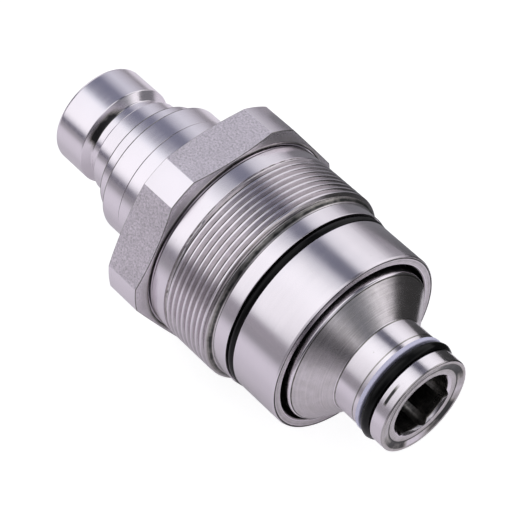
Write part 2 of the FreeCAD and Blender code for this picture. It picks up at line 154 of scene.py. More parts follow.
class HousingSizes(bpy.types.PropertyGroup):
    """Sizes of the threaded housing and its hexagon."""

    spigot_radius: length("Spigot radius", 22.0, "Outside of the smooth end")
    spigot_length: length("Spigot length", 12.4, "From the end to the seal's groove")
    rim_bevel: length("Rim bevel", 0.4, "Length of the slope round the spigot's end")
    rim_drop: length("Rim drop", 0.14, "Drop of that slope")
    gland_width: length("Groove width", 1.94, "Width of the seal's groove")
    gland_radius: length("Groove radius", 20.3, "Floor of the seal's groove")
    pilot_radius: length("Pilot radius", 22.45, "Collar between the seal and the thread")
    pilot_length: length("Pilot length", 3.65, "Length of that collar")
    lead_in: length("Lead-in", 1.4, "Cone at the start of the thread")
    thread_radius: length("Thread radius", 24.0, "Crest of the thread")
    thread_depth: length("Thread depth", 0.92, "Crest to root")
    thread_pitch: length("Thread pitch", 1.5, "Advance in one turn")
    thread_length: length("Thread length", 13.0, "Lead-in to land")
    run_out: length("Run-out", 0.3, "Gap between the last thread and the land")
    fade: length("Fading length", 2.4, "Stretch in which the thread fades out towards the land")
    land_radius: length("Land radius", 23.9, "Smooth band beside the hexagon")
    land_length: length("Land length", 4.45, "Width of that band")
    land_bevel: length("Land bevel", 0.65, "Width of the sloping strip at that band's end")
    land_drop: length("Land drop", 0.18, "Fall of the sloping strip")
    relief_radius: length("Relief radius", 22.9, "Floor of the groove at the seat")
    relief_width: length("Relief width", 0.15, "Width of that groove")
    undercut_radius: length("Undercut radius", 24.15, "Reach of the seat's shallow undercut")
    undercut_depth: length("Undercut depth", 0.15, "Depth of the seat's shallow undercut")
    hex_flats: length("Across flats", 50.0, "Hexagon across its flats")
    hex_corner: length("Across corners", 54.2, "Turned diameter of the hexagon's corners")
    hex_face: length("Face diameter", 49.4, "Where the hexagon's chamfers start")
    front_chamfer: length("Seat chamfer", 0.75, "Depth of the chamfer beside the seat")
    rear_chamfer: length("Outer chamfer", 0.65, "Depth of the chamfer on the outer face")
    chamfer_dulling: share("Chamfer dulling", 0.38, "How far the seat's chamfer takes the flats' dull grain")
    guide_radius: length("Guide radius", 16.65, "Bore that the nipple slides in")
    guide_end: length("Guide end", 7.5, "Depth of that bore behind the seat")
    chamber_radius: length("Spring chamber radius", 18.0, "Bore around the return spring")
    rear_bore_radius: length("Rear bore radius", 19.8, "Bore for the seat ring")
    rear_bore_depth: length("Rear bore depth", 9.4, "Depth of that bore")
    edge: length("Edge break", 0.3, "Chamfer on the bores and the spigot")


class NippleSizes(bpy.types.PropertyGroup):
    """Sizes of the sliding nipple and its nose."""

    stem_radius: length("Stem radius", 13.0, "Stem inside the return spring")
    shoulder: length("Shoulder place", -8.5, "Where the return spring bears")
    nipple_radius: length("Nipple radius", 16.6, "Part that slides in the housing")
    exposed: length("Shown length", 9.6, "Nipple outside the hexagon")
    neck_radius: length("Neck radius", 16.45, "Collar in front of the scribed line")
    neck_length: length("Neck length", 5.5, "Length of that collar")
    scribed_line: length("Scribed line", 0.22, "Width and depth of the line behind the collar")
    step_radius: length("Step radius", 14.25, "First step down to the nose")
    step_length: length("Step length", 3.7, "Length of the step")
    throat_radius: length("Throat radius", 12.0, "Second step down to the nose")
    throat_length: length("Throat length", 5.1, "Length of the throat")
    lock_radius: length("Locking groove radius", 10.4, "Floor of the groove for the locking balls")
    lock_length: length("Locking groove length", 2.75, "Width of that floor")
    lock_slope: length("Locking slope", 1.5, "Length of the slope up to the nose")
    nose_radius: length("Nose radius", 12.25, "Collar that goes into the other half")
    nose_round: length("Nose rounding", 0.85, "Rounding at the tip")
    rim_round: length("Rim rounding", 0.35, "Rounding of the stepped rims")
    nose_bore: length("Nose bore radius", 7.6, "Bore that the flat valve closes")
    nose_bore_length: length("Nose bore length", 6.0, "Length of that bore")
    valve_chamber: length("Valve chamber radius", 9.4, "Bore around the valve's spring")
    guide_front: length("Guide place", 12.0, "Front of the valve's guide")
    flow_bore: length("Flow bore radius", 10.2, "Bore of the stem")


class AdapterSizes(bpy.types.PropertyGroup):
    """Sizes of the rear adapter and its nozzle."""

    outside_radius: length("Outside radius", 18.8, "Largest part of the adapter")
    land: length("Land length", 6.4, "Straight part inside the housing")
    cone_length: length("Cone length", 5.75, "Cone down to the nozzle")
    nozzle_radius: length("Nozzle radius", 11.65, "Straight part behind the seals")
    nozzle_length: length("Nozzle length", 5.2, "Length of that part")
    lead_in: length("Lead-in", 1.0, "Slope beside the backup ring")
    lead_depth: length("Lead-in depth", 0.15, "Drop of that slope")
    gland_radius: length("Groove radius", 9.8, "Floor of the seals' groove")
    flange_radius: length("Flange radius", 11.6, "End flange")
    flange_length: length("Flange length", 3.5, "Width of the end flange")
    flange_round: length("Flange rounding", 0.28, "Rounding of the end rim")
    # The flange's dark streak is a painted dark reflection
    dark_reflection_place: length("Streak place", 1.4, "From the seals' groove to an oily streak on the flange")
    dish_radius: length("Dish radius", 10.9, "Mouth of the dished end")
    dish_floor: length("Dish floor radius", 9.36, "Where the dish's slope meets its floor")
    dish_depth: length("Dish depth", 0.38, "Depth of the dished end")
    socket_bevel: length("Socket bevel", 0.5, "Bevel round the socket's mouth")
    socket_flats: length("Socket flats", 13.8, "Hexagon socket across its flats")
    socket_corner_radius: length("Socket corner radius", 7.8, "Reach of the socket's blunt corners")
    socket_depth: length("Socket depth", 9.0, "Depth of the hexagon socket")
    socket_corner: rotation("Socket turn", 8.0, "Angle of one socket corner from straight up")
    drill_radius: length("Drill radius", 7.36, "Round hole through the socket")
    drill_depth: length("Drill depth", 11.0, "Depth of that hole")
    flow_bore: length("Flow bore radius", 9.0, "Bore behind the drilled hole")
    stem_depth: length("Stem depth", 8.1, "How far the stem goes in")
    stem_bore: length("Stem bore radius", 13.02, "Bore for the stem")
    edge: length("Edge break", 0.3, "Chamfer on the edges")


class SealSizes(bpy.types.PropertyGroup):
    """Sizes of the rings that show."""

    housing_ring: length("Housing ring section", 1.9, "Thickness of the ring on the spigot")
    nozzle_ring: length("Nozzle ring section", 2.45, "Thickness of the ring on the nozzle")
    clearance: length("Seal clearance", 0.02, "Gap between a ring and its groove")
    backup_round: length("Backup rounding", 0.25, "Rounding of the backup ring's edges")
    flash: length("Parting line", 0.035, "Height of the moulded line round a ring")


class ValveSizes(bpy.types.PropertyGroup):
    """Sizes of the flat valve."""

    head_radius: length("Head radius", 7.55, "Flat head flush with the nose")
    flange_radius: length("Flange radius", 8.6, "Flange behind the head")
    flange_thickness: length("Flange thickness", 1.6, "Thickness of that flange")
    flange_setback: length("Flange setback", 6.3, "From the face to that flange")
    ring_setback: length("Ring setback", 1.8, "From the face to the seal's groove")
    ring_width: length("Ring width", 3.06, "Width of the seal's groove")
    gland_radius: length("Groove radius", 5.71, "Floor of the seal's groove")
    boss_radius: length("Boss radius", 5.3, "Boss inside the spring")
    boss_length: length("Boss length", 3.0, "Length of that boss")
    taper_length: length("Taper length", 3.6, "Taper down to the stem")
    stem_radius: length("Stem radius", 2.5, "Stem in the guide")
    edge: length("Edge break", 0.3, "Chamfer on the stem")


class SpringSizes(bpy.types.PropertyGroup):
    """Sizes of the two springs."""

    return_wire: length("Return wire", 2.6, "Wire of the spring round the stem")
    return_turns: count("Return turns", 4.5, "Turns of the spring round the stem")
    valve_wire: length("Valve wire", 1.5, "Wire of the spring behind the valve")
    valve_turns: count("Valve turns", 7.0, "Turns of the spring behind the valve")


class FinishColours(bpy.types.PropertyGroup):
    """Colours of the finishes."""

    plating: colour("Plating", (0.80, 0.75, 0.80), "Bright plating on turned steel")
    blasted: colour("Blasted plating", (0.84, 0.77, 0.84), "Sandy plating on the hexagon's flats")
    # Soil: a dull film, and also the colour of the painted shade in corners
    soil: colour("Soil", (0.38, 0.36, 0.34), "Dull film on thread flanks and in corners")
    # Grime and shade: the darkest tone, for painted shade in grooves, bores and creases and for painted dark
    # reflections
    grime_and_shade: colour("Grime", (0.05, 0.05, 0.05), "Oily dirt in grooves and bores")
    rubber: colour("Rubber", (0.003, 0.003, 0.0031), "Seals")
    backup: colour("Backup ring", (0.78, 0.76, 0.97), "Fluoroplastic rings")
    spring: colour("Spring wire", (0.42, 0.42, 0.44), "Drawn wire")
    blackened: colour("Blackened steel", (0.10, 0.10, 0.11), "Snap rings")
    floor: colour("Floor", (0.9, 0.9, 0.9), "Pale floor")
    plating_roughness: share("Plating roughness", 0.16, "Roughness of the turned plating")
    blasted_roughness: share("Blasted roughness", 0.42, "Roughness of the hexagon's flats")


class CouplerSettings(bpy.types.PropertyGroup):
    """All sizes and colours of the coupler."""

    housing: PointerProperty(type=HousingSizes)
    nipple: PointerProperty(type=NippleSizes)
    adapter: PointerProperty(type=AdapterSizes)
    seals: PointerProperty(type=SealSizes)
    valve: PointerProperty(type=ValveSizes)
    springs: PointerProperty(type=SpringSizes)
    colours: PointerProperty(type=FinishColours)


# Surfaces: rows of (place along the axis, radius, rim, soil and painted shade) over the columns of angles
# round the axis

class Corner(NamedTuple):
    """A corner of an outline; place, radius and soil with painted shade are numbers or one number per
    column.
    """

    place: object
    radius: object
    rounding: float = 0.0
    steps: int = RIM_STEPS
    soil: object = 0.0
    spread: float = GUARD


def crease(place, radius, soil=0.8):
    """An inner corner with a thin dark line in it."""
    return Corner(place, radius, CREASE_ROUND, INNER_STEPS, soil, SOIL_SPREAD)


def dark(place, radius, rounding=0.0, steps=INNER_STEPS):
    """A corner of a groove or bore that stays dark."""
    return Corner(place, radius, rounding, steps, 1.0)


def unit(vectors):
    """Vectors divided by their own length."""
    return vectors / np.linalg.norm(vectors, axis=-1, keepdims=True)


def rounded_rows(corners, columns):
    """Rows of a closed outline whose corners are rounded, as one array of rows for each corner.

    The arc touches both sides of the corner. It starts at rounding / tan(half the corner's angle) from the
    corner, its centre lies on the bisector at rounding / sin(half the angle), and its points divide the turn
    evenly. A guard row stands a little before and after each arc, so that shading stays flat on the sides. A
    corner with no rounding is one row. Two more columns say which rows are on an arc and how much soil and
    painted shade lies there: a dull film, painted shade in grooves, creases and bores, and painted dark
    reflections; what spreads fades out at the guard rows.
    """
    points = np.zeros((len(corners), columns, 2))
    for row, corner in enumerate(corners):
        points[row, :, 0] = corner.place
        points[row, :, 1] = corner.radius
    before_points, after_points = np.roll(points, 1, 0), np.roll(points, -1, 0)
    blocks = []
    for row, corner in enumerate(corners):
        point = points[row]
        arc = point[None]
        on_arc = np.zeros((1, columns, 2))
        on_arc[..., 1] = corner.soil
        if corner.rounding:
            before, after = unit(before_points[row] - point), unit(after_points[row] - point)
            cosine = np.clip((before * after).sum(-1, keepdims=True), -0.99999, 0.99999)
            half = np.arccos(cosine) / 2
            reach = corner.rounding / np.tan(half)
            centre = point + unit(before + after) * corner.rounding / np.sin(half)
            first, last = point + before * reach - centre, point + after * reach - centre
            turn = math.pi - 2 * half
            part = np.linspace(0.0, 1.0, corner.steps + 1)[:, None, None]
            arc = centre + (np.sin((1 - part) * turn) * first + np.sin(part * turn) * last) / np.sin(turn)
            guards = [(point + side * (reach + corner.spread))[None] for side in (before, after)]
            arc = np.concatenate([guards[0], arc, guards[1]])
            on_arc = np.zeros((len(arc), columns, 2))
            on_arc[1:-1, :, 0] = 1.0
            on_arc[..., 1] = corner.soil
            if corner.spread > GUARD:
                on_arc[[0, -1], :, 1] = 0.0
        blocks.append(np.concatenate([arc, on_arc], axis=2))
    return blocks


def circle_rows(place, radius, section, flash, columns):
    """Rows of a ring's round section, with a fine moulded line standing out at its widest.

    The section is place + (section / 2) cos a, radius + (section / 2) sin a, less the line's height except
    near its top, so the ring stays within its section.
    """
    angle = np.linspace(0.0, FULL_TURN, RING_STEPS, endpoint=False)[:, None]
    ridge = flash * np.exp(-((angle - math.pi / 2) / FLASH_WIDTH) ** 2)
    reach = section / 2 - flash + ridge
    rows = np.zeros((RING_STEPS, columns, 4))
    rows[..., 0] = place + reach * np.cos(angle)
    rows[..., 1] = radius + reach * np.sin(angle)
    return rows


def coil_rows(rear, front, outside, wire, turns):
    """Rows of a round wire wound about the axis, and the angles of their columns.

    At part p of its turns the wire's middle stands half a wire from the rear plus p times the way to half a
    wire from the front, half a wire inside its outside radius, and its section is a circle in the plane of
    the axis. The first and the last column shrink to the wire's middle, which closes its ends.
    """
    part = np.linspace(0.0, 1.0, int(turns * COIL_COLUMNS) + 1)
    part = np.concatenate([part[:1], part, part[-1:]])
    reach = np.full(len(part), wire / 2)
    reach[[0, -1]] = 0.0
    section = np.linspace(0.0, FULL_TURN, WIRE_STEPS, endpoint=False)[:, None]
    rows = np.zeros((WIRE_STEPS, len(part), 4))
    rows[..., 0] = rear + wire / 2 + (front - rear - wire) * part + reach * np.cos(section)
    rows[..., 1] = outside - wire / 2 + reach * np.sin(section)
    return rows, -FULL_TURN * turns * part


def even_angles(columns=PLAIN_COLUMNS):
    """Evenly spread columns, with the first repeated at the end so that the seam closes."""
    return np.linspace(0.0, FULL_TURN, columns + 1)


def six_sided_angles(edge, first_side, side_columns, corner_columns):
    """Columns for a shape with six sides, whose edges stand at an angle from their side's middle.

    Each edge has a close line before and after it, and the stretch round a corner has its own columns.
    """
    side = np.linspace(-edge + EDGE_GUARD, edge - EDGE_GUARD, side_columns)
    corner = np.linspace(edge + EDGE_GUARD, HEX_STEP - edge - EDGE_GUARD, corner_columns)
    one_side = np.concatenate([[-edge], side, [edge], corner])
    angles = np.concatenate([one_side + HEX_STEP * number for number in range(HEX_SIDES)])
    return first_side + np.append(angles, angles[0] + FULL_TURN)


def side_angle(angles, first_side):
    """Angle of each column from the middle of its nearest side, half a side's turn at most."""
    return (angles - first_side + HEX_STEP / 2) % HEX_STEP - HEX_STEP / 2


def thread_rows(start, end, faded_root, sizes, angles):
    """Rows that follow a screw thread's helix.

    Row u turns along the thread stands at start + pitch (u + angle / full turn), held between start and end.
    Its radius is the root plus what is left up to the crest times the tooth's height at that part of a turn,
    no more than the lead-in cone allows. The root rises to the faded root where the thread runs out.
    """
    numbers = np.arange(-1, math.ceil((end - start) / sizes.thread_pitch) + 1)
    along = (numbers[:, None] + TOOTH[None, :, 0]).reshape(-1, 1)
    height, soil = np.tile(TOOTH[:, 1:], (len(numbers), 1)).T[..., None]
    deep = sizes.thread_radius - sizes.thread_depth
    places = np.clip(start + sizes.thread_pitch * (along + (angles - angles[0]) / FULL_TURN), start, end)
    root = deep + (faded_root - deep) * np.clip(1 - (end - places) / sizes.fade, 0, 1) ** 2
    slope = (sizes.thread_radius - sizes.pilot_radius) / sizes.lead_in
    crest = np.minimum(sizes.thread_radius, deep + slope * (places - start))
    inside = (places > start) & (places < end)
    rows = np.zeros((*places.shape, 4))
    rows[..., 0] = places
    rows[..., 1] = np.where(inside, np.minimum(root + (sizes.thread_radius - root) * height, crest), root)
    rows[..., 2] = inside * (height > 0.9)
    # Painted shade: darkest in the root, and also where the lead-in cuts the crest down
    rows[..., 3] = np.maximum(soil, ROOT_SHADE * (sizes.thread_radius - crest) / sizes.thread_depth)
    return rows


def turned_piece(name, blocks, angles, body, finish, replaced, blasted=None):
    """A closed surface from rows of (place, radius): a point is (place, radius sin angle, radius cos angle).

    The rows close into a loop, the columns meet at the seam, and points that fall together are merged.
    """
    places, radii, rim, soil = np.moveaxis(np.concatenate(blocks), 2, 0)
    points = np.stack([places, radii * np.sin(angles), radii * np.cos(angles)], -1).reshape(-1, 3)
    index = np.arange(places.size).reshape(places.shape)
    after = np.roll(index, -1, 0)
    faces = np.stack([index[:, :-1], index[:, 1:], after[:, 1:], after[:, :-1]], -1).reshape(-1, 4)
    mesh = bpy.data.meshes.new(name)
    mesh.from_pydata(points, [], faces)
    marks = {"rim": rim, "soil": soil, "blasted": np.zeros_like(rim) if blasted is None else blasted}
    for mark, values in marks.items():
        data = mesh.attributes.new(mark, "FLOAT", "POINT").data
        data.foreach_set("value", values.ravel().astype(np.float32))
    close_seams(mesh)
    mesh.materials.append(finish_material(finish))
    piece = bpy.data.objects.new(name, mesh)
    bpy.context.scene.collection.objects.link(piece)
    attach(piece, body)
    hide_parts(replaced)
    return piece


def close_seams(mesh):
    """Merges what falls together, drops what has no area and points every face outwards."""
    shell = bmesh.new()
    shell.from_mesh(mesh)
    bmesh.ops.remove_doubles(shell, verts=shell.verts, dist=MERGE_DISTANCE)
    loose = [edge for edge in shell.edges if not edge.link_faces]
    bmesh.ops.delete(shell, geom=loose, context="EDGES")
    bmesh.ops.recalc_face_normals(shell, faces=shell.faces)
    shell.to_mesh(mesh)
    shell.free()
    mesh.shade_smooth()


# Finishes

class Value:
    """A shader socket that takes part in Python arithmetic, adding Math nodes as it goes."""

    def __init__(self, shader, socket):
        self.shader = shader
        self.socket = socket

    def math(self, operation, *values):
        """A Math node on this value and others."""
        return self.shader.math(operation, self, *values)

    def __add__(self, other):
        return self.math("ADD", other)

    def __sub__(self, other):
        return self.math("SUBTRACT", other)

    def __rsub__(self, other):
        return self.shader.math("SUBTRACT", other, self)

    def __mul__(self, other):
        return self.math("MULTIPLY", other)

    def __truediv__(self, other):
        return self.math("DIVIDE", other)

    def __pow__(self, other):
        return self.math("POWER", other)

    __radd__ = __add__
    __rmul__ = __mul__


class Shader:
    """The node tree of one finish or of the world."""

    def __init__(self, owner):
        owner.use_nodes = True
        self.tree = owner.node_tree
        self.tree.nodes.clear()

    def node(self, kind, inputs=None, **settings):
        """A node of a kind, with its settings set first and then the values or links of its sockets."""
        node = self.tree.nodes.new(kind)
        for name, setting in settings.items():
            if name == "stops":
                self.set_stops(node.color_ramp, setting)
            else:
                setattr(node, name, setting)
        for name, value in (inputs or {}).items():
            if isinstance(value, Value):
                self.tree.links.new(value.socket, node.inputs[name])
            else:
                node.inputs[name].default_value = value
        return node

    def set_stops(self, ramp, stops):
        """The stops of a colour ramp, as (position, grey or colour)."""
        while len(ramp.elements) < len(stops):
            ramp.elements.new(1.0)
        for element, (position, tone) in zip(ramp.elements, stops):
            element.position = position
            element.color = (tone, tone, tone, 1.0) if isinstance(tone, float) else (*tone, 1.0)

    def value(self, kind, output=0, inputs=None, **settings):
        """One output of a new node, ready for arithmetic and links."""
        return Value(self, self.node(kind, inputs, **settings).outputs[output])

    def math(self, operation, *values):
        """A Math node on values and numbers, in their order."""
        return self.value("ShaderNodeMath", 0, dict(enumerate(values)), operation=operation)

    def parts(self, vector):
        """The x, y and z of a vector."""
        return [Value(self, part) for part in self.node("ShaderNodeSeparateXYZ", {0: vector}).outputs]

    def combine(self, x, y, z):
        """A vector from three values."""
        return self.value("ShaderNodeCombineXYZ", 0, {"X": x, "Y": y, "Z": z})

    def object_position(self):
        """The point on the piece, in metres in the coupler's own frame."""
        return self.value("ShaderNodeTexCoord", "Object")

    def axis_parts(self):
        """Place along the axis, radius and angle round the axis of the point."""
        along, across, up = self.parts(self.object_position())
        return along, (across * across + up * up) ** 0.5, across.math("ARCTAN2", up)

    def attribute(self, name):
        """A number stored on the piece's points."""
        return self.value("ShaderNodeAttribute", "Fac", attribute_name=name)

    def noise(self, vector, scale, detail=2.0, roughness=0.5):
        """Smooth noise from 0 to 1."""
        return self.value("ShaderNodeTexNoise", "Fac",
                          {"Vector": vector, "Scale": scale, "Detail": detail, "Roughness": roughness})

    def step(self, value, low, high):
        """0 below low, 1 above high, and a straight rise between them."""
        return self.value("ShaderNodeMapRange", 0, {"Value": value, "From Min": low, "From Max": high})

    def blend(self, factor, first, second):
        """A colour that goes from the first to the second as the factor goes from 0 to 1."""
        first, second = (tone if isinstance(tone, Value) else (*tone, 1.0) for tone in (first, second))
        return self.value("ShaderNodeMix", 2, {"Factor": factor, 6: first, 7: second}, data_type="RGBA")

    def finish(self, inputs, height, distance):
        """The surface from its socket values, with a bump of a real height in metres."""
        bump = self.value("ShaderNodeBump", 0, {"Height": height, "Distance": distance, "Strength": 1.0})
        surface = self.value("ShaderNodeBsdfPrincipled", 0, {**inputs, "Normal": bump})
        self.node("ShaderNodeOutputMaterial", {"Surface": surface})


def tinted(base, part):
    """A colour made darker or lighter."""
    return [part * channel for channel in base]


def plated_steel(shader, colours, lay_depth, lay_scale, blasted=False):
    """Bright plating on turned steel: fine rings from the tool, a cloudy film, polished rims, and grooves
    darkened with painted shade.

    The rings are noise of the place along the axis and the radius, so they run round every turned face.
    Where the piece has blasted flats, those take a sandy grain instead.
    """
    position = shader.object_position()
    along, radius, angle = shader.axis_parts()
    lay = shader.noise(shader.combine(along, radius, 0.0), lay_scale, 4.0, 0.7)
    unevenness = shader.noise(shader.combine(along * 3.0, radius * 3.0, angle * 0.004), 420.0, 3.0)
    cloud = shader.noise(position, 70.0, 3.0)
    rim = shader.attribute("rim")
    film = shader.step(cloud, 0.35, 0.75)
    tone = shader.blend(film * 0.5, colours.plating, tinted(colours.plating, 0.93))
    rough = colours.plating_roughness + 0.10 * (unevenness - 0.5) + 0.05 * film - 0.04 * rim
    height = lay * (1.0 - rim)
    metal = 1.0
    if blasted:
        sandy = shader.attribute("blasted")
        grain = shader.noise(position, 2200.0, 4.0, 0.7)
        patch = shader.noise(position, 160.0, 2.0)
        pit = shader.step(grain, 0.40, 0.30)
        dull = shader.blend(shader.step(grain, 0.3, 0.7) * 0.7 + patch * 0.3,
                            tinted(colours.blasted, 0.46), tinted(colours.blasted, 1.38))
        dull = shader.blend(pit * 0.6, dull, colours.soil)
        tone = shader.blend(sandy, tone, dull)
        rough = rough + sandy * (colours.blasted_roughness - rough + 0.12 * (grain - 0.5))
        height = height + sandy * (22.0 * grain - height)
        metal = 1.0 - 0.4 * sandy
    speck = shader.step(shader.noise(position, 1100.0, 2.0), 0.74, 0.80)
    tone = shader.blend(speck * 0.5, tone, colours.soil)
    # Soil and shade: up to 0.6 a dull film that is partly painted shade; above it the darkest tone, painted
    # shade in grooves, creases and bores and painted dark reflections
    blotch = shader.noise(position, 520.0, 3.0, 0.6)
    soil = shader.attribute("soil") * (0.5 + blotch)
    streak = shader.step(lay, 0.35, 0.65)
    dull = shader.blend(streak, tinted(colours.soil, 0.55), tinted(colours.soil, 1.3))
    tone = shader.blend(shader.step(soil, 0.05, 0.6), tone, dull)
    tone = shader.blend(shader.step(soil, 0.6, 1.0), tone, colours.grime_and_shade)
    rough = rough + 0.14 * soil
    shader.finish({"Base Color": tone, "Metallic": metal, "Roughness": rough}, height, lay_depth)


def seal_rubber(shader, colours):
    """Moulded rubber: a satin skin with fine grain and a slightly greyer bloom in patches."""
    position = shader.object_position()
    grain = shader.noise(position, 2400.0, 3.0)
    bloom = shader.step(shader.noise(position, 240.0, 3.0), 0.45, 0.8)
    tone = shader.blend(bloom, colours.rubber, [1.5 * part + 0.001 for part in colours.rubber])
    rough = 0.19 + 0.12 * bloom + 0.06 * (grain - 0.5)
    shader.finish({"Base Color": tone, "Roughness": rough, "Specular IOR Level": 0.16}, grain,
                  4.0 * MICROMETRE)


def backup_plastic(shader, colours):
    """Turned fluoroplastic: milky, waxy, with faint rings from the tool."""
    along, radius, _ = shader.axis_parts()
    lay = shader.noise(shader.combine(along, radius, 0.0), 5000.0, 3.0)
    cloud = shader.noise(shader.object_position(), 300.0, 3.0)
    tone = shader.blend(cloud, tinted(colours.backup, 0.9), colours.backup)
    rough = 0.44 + 0.1 * (lay - 0.5)
    shader.finish({"Base Color": tone, "Roughness": rough, "Specular IOR Level": 0.3}, lay,
                  6.0 * MICROMETRE)


def drawn_wire(shader, colours, base, roughness):
    """Drawn or blackened steel: faint streaks and a thin oily film."""
    along, radius, angle = shader.axis_parts()
    streak = shader.noise(shader.combine(along * 4.0, radius * 4.0, angle * 0.01), 600.0, 3.0)
    oil = shader.noise(shader.object_position(), 180.0, 2.0)
    steel = getattr(colours, base)
    tone = shader.blend(streak * 0.6 + oil * 0.4, tinted(steel, 0.75), tinted(steel, 1.2))
    rough = roughness + 0.12 * (oil - 0.5)
    shader.finish({"Base Color": tone, "Metallic": 1.0, "Roughness": rough}, streak, 4.0 * MICROMETRE)


FINISHES = {
    "plated_housing": (plated_steel, {"lay_depth": 1.2 * MICROMETRE, "lay_scale": 2600.0, "blasted": True}),
    "plated_nipple": (plated_steel, {"lay_depth": 1.0 * MICROMETRE, "lay_scale": 2600.0}),
    "plated_adapter": (plated_steel, {"lay_depth": 4.0 * MICROMETRE, "lay_scale": 3000.0}),
    "black_rubber": (seal_rubber, {}),
    "milky_plastic": (backup_plastic, {}),
    "spring_wire": (drawn_wire, {"base": "spring", "roughness": 0.32}),
    "blackened_steel": (drawn_wire, {"base": "blackened", "roughness": 0.38}),
}


def finish_material(key):
    """The material of a finish, made once."""
    material = bpy.data.materials.get(key)
    if material is None:
        material = bpy.data.materials.new(key)
        make, settings = FINISHES[key]
        make(Shader(material), bpy.context.scene.coupler.colours, **settings)
    return material


# Pieces

class COUPLER_OT_housing(bpy.types.Operator):
    """Build the threaded housing with its hexagon"""

    bl_idname = "coupler.housing"
    bl_label = "Housing"

    def execute(self, context):
        sizes = context.scene.coupler.housing
        half_flats, corner = sizes.hex_flats / 2, sizes.hex_corner / 2
        face = sizes.hex_face / 2
        edge_angle = math.acos(half_flats / corner)
        angles = six_sided_angles(edge_angle, 0.0, *HEXAGON_COLUMNS)
        columns = len(angles)
        off_middle = side_angle(angles, 0.0)
        hexagon = np.minimum(corner, half_flats / np.cos(off_middle))
        end, front = HOUSING_BOX[0].x, HOUSING_BOX[1].x
        gland = end + sizes.spigot_length
        pilot = gland + sizes.gland_width
        lead = pilot + sizes.pilot_length
        thread = lead + sizes.lead_in
        land = thread + sizes.thread_length
        relief = land + sizes.land_length
        seat = relief + sizes.relief_width
        root = sizes.thread_radius - sizes.thread_depth
        slope = (sizes.thread_radius - sizes.pilot_radius) / sizes.lead_in
        thread_start = lead + (root - sizes.pilot_radius) / slope
        thread_end = land - sizes.run_out
        faded_root = root + sizes.run_out
        seat_slope = (corner - face) / sizes.front_chamfer
        face_slope = (corner - face) / sizes.rear_chamfer
        edge = sizes.edge
        rim = sizes.spigot_radius - sizes.rim_drop
        bore_end = end + sizes.rear_bore_depth
        # The soil and shade values here paint the spigot's end face darker with a dark ring near its rim,
        # and painted shade in the seal's groove, at the lead-in's corner and in the bores
        before_thread = [
            Corner(end, sizes.rear_bore_radius + edge, SMALL),
            Corner(end, sizes.rear_bore_radius + 2 * edge, soil=0.32),
            Corner(end, rim - 2 * edge, soil=0.32),
            Corner(end, rim - 1.6 * edge),
            Corner(end, rim - 1.4 * edge, soil=1.0),
            Corner(end, rim - 0.4 * edge, soil=1.0),
            Corner(end, rim, FINE),
            Corner(end + sizes.rim_bevel, sizes.spigot_radius, SMALL),
            Corner(gland, sizes.spigot_radius, SOFT),
            dark(gland, sizes.gland_radius, SMALL),
            dark(pilot, sizes.gland_radius, SMALL),
            Corner(pilot, sizes.pilot_radius, SOFT),
            Corner(lead, sizes.pilot_radius, FINE, INNER_STEPS, soil=0.9, spread=EASED),
            dark(lead + EASED * 3, sizes.pilot_radius + EASED * 3 * slope),
            dark(thread_start, root),
        ]
        # Painted shade in the run-out, the relief and the undercut, across the seat face, along the
        # chamfers' edges and in the bores
        after_thread = [
            Corner(thread_end, faded_root, soil=0.7),
            Corner(land, faded_root, soil=0.7),
            Corner(land, sizes.land_radius, SMALL),
            Corner(relief - sizes.land_bevel, sizes.land_radius, FINE),
            Corner(relief, sizes.land_radius - sizes.land_drop, FINE),
            Corner(relief, sizes.relief_radius, SMALL, INNER_STEPS, soil=0.5),
            Corner(seat + sizes.undercut_depth, sizes.relief_radius, SMALL, INNER_STEPS, soil=0.5),
            Corner(seat + sizes.undercut_depth, sizes.undercut_radius - EASED),
            dark(seat + sizes.undercut_depth, sizes.undercut_radius),
            dark(seat, sizes.undercut_radius),
            Corner(seat, sizes.undercut_radius + EASED, soil=1.0),
            Corner(seat, sizes.undercut_radius + 4 * EASED, soil=0.5),
            Corner(seat, face, FINE, soil=0.3),
            Corner(seat + (hexagon - face) / seat_slope, hexagon, SMALL, soil=0.9, spread=EASED),
            Corner(front - (hexagon - face) / face_slope, hexagon, SMALL, soil=0.5, spread=EASED),
            Corner(front, face, FINE),
            Corner(front, sizes.guide_radius + edge, SMALL),
            dark(front - edge, sizes.guide_radius),
            dark(-sizes.guide_end, sizes.guide_radius),
            dark(-sizes.guide_end, sizes.chamber_radius),
            dark(bore_end, sizes.chamber_radius),
            dark(bore_end, sizes.rear_bore_radius),
            dark(end + edge, sizes.rear_bore_radius, SMALL, RIM_STEPS),
        ]
        blocks = rounded_rows(before_thread + after_thread, columns)
        blocks.insert(len(before_thread), thread_rows(thread_start, thread_end, faded_root, sizes, angles))
        rows = np.concatenate(blocks)
        on_side = np.abs(off_middle) < edge_angle - EDGE_GUARD / 2
        between = (rows[..., 0] > seat + sizes.undercut_depth / 3) & (rows[..., 0] < front)
        outer = rows[..., 1] > hexagon - GUARD
        seat_chamfer = (rows[..., 1] > face) & (rows[..., 0] < seat + sizes.front_chamfer) & ~outer
        blasted = (on_side & between & outer) + sizes.chamfer_dulling * seat_chamfer
        turned_piece("housing_shell", blocks, angles, "housing", "plated_housing",
                     "hex_housing", blasted)
        return {"FINISHED"}


# Darkening by angle: degrees from straight up to +Y, and how much lies there. The locking slope is painted
# darker, less up the slope: by how much, and then at which part of the slope which share of it is left.
DARKENING_LOSS = 0.35
DARKENING_LEFT = (0.45, 1.0), (0.70, 0.3)
SLOPE_DARKENING = (2, 0.0), (10, 0.6), (22, 1.3), (50, 1.6), (56, 1.2), (63, 0.4), (73, 0.0)
# A painted dark reflection along the flange
FLANGE_DARK_REFLECTION = (27, 0.0), (33, 0.6), (39, 1.3), (50, 1.4), (53, 0.6), (55, 0.0)
